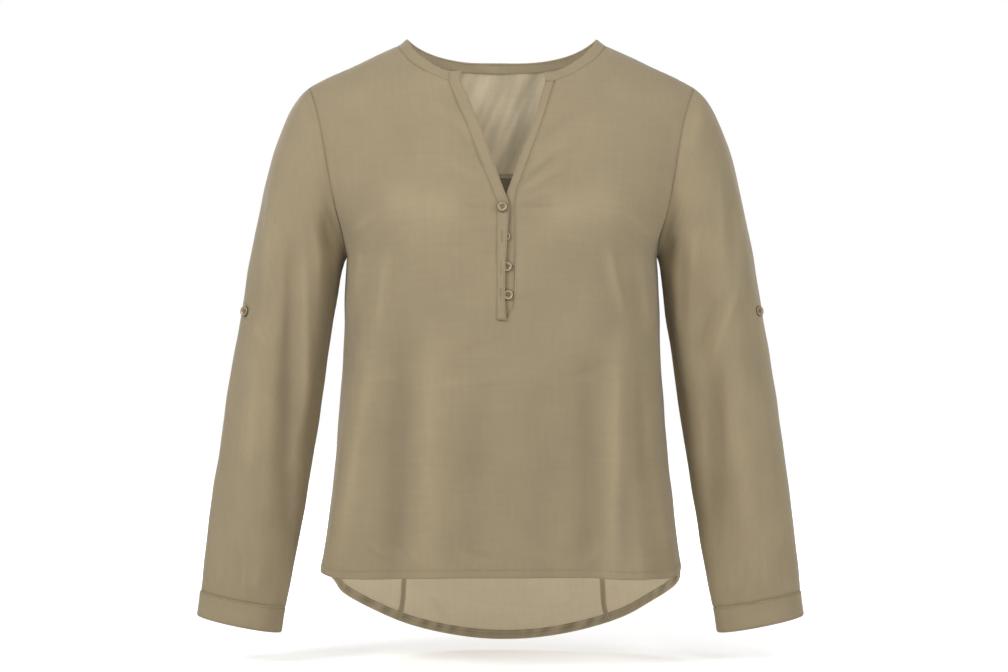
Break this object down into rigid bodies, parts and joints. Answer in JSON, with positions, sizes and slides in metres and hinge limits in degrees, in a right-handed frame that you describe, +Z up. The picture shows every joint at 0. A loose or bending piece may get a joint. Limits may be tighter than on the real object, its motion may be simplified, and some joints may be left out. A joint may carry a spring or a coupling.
{
  "type": "women's blouse with a buttoned half placket",
  "caption": "Long-sleeved pull-on blouse with a collarless neckband, a V neck above a short buttoned placket, closed band cuffs and a curved hem that is longer behind, hollow as worn.",
  "frame": {"origin": "mid-point between the neck ends of the two shoulder seams, where the wearer's shoulders hold the blouse up", "axes": "+Z up, the front of the blouse faces -Y, +X is the wearer's left"},
  "size_m": [0.6626, 0.2442, 0.6722],
  "materials": {
    "taupe_cloth": "soft plain-weave viscose crepe, matt with a faint sheen",
    "horn_button": "polished horn-effect resin"
  },
  "bodies": {
    "root": {"back_centre": "taupe_cloth", "back_side_left": "taupe_cloth", "back_side_right": "taupe_cloth", "back_yoke": "taupe_cloth", "cuff_left": "taupe_cloth", "cuff_right": "taupe_cloth", "front": "taupe_cloth", "neckband": "taupe_cloth", "placket_under": "taupe_cloth", "placket_upper": "taupe_cloth", "sleeve_left": "taupe_cloth", "sleeve_right": "taupe_cloth", "sleeve_tab_left": "taupe_cloth", "sleeve_tab_right": "taupe_cloth", "button_1": "horn_button", "button_2": "horn_button", "button_3": "horn_button", "button_4": "horn_button", "sleeve_button_left": "horn_button", "sleeve_button_right": "horn_button"}
  },
  "joints": []
}
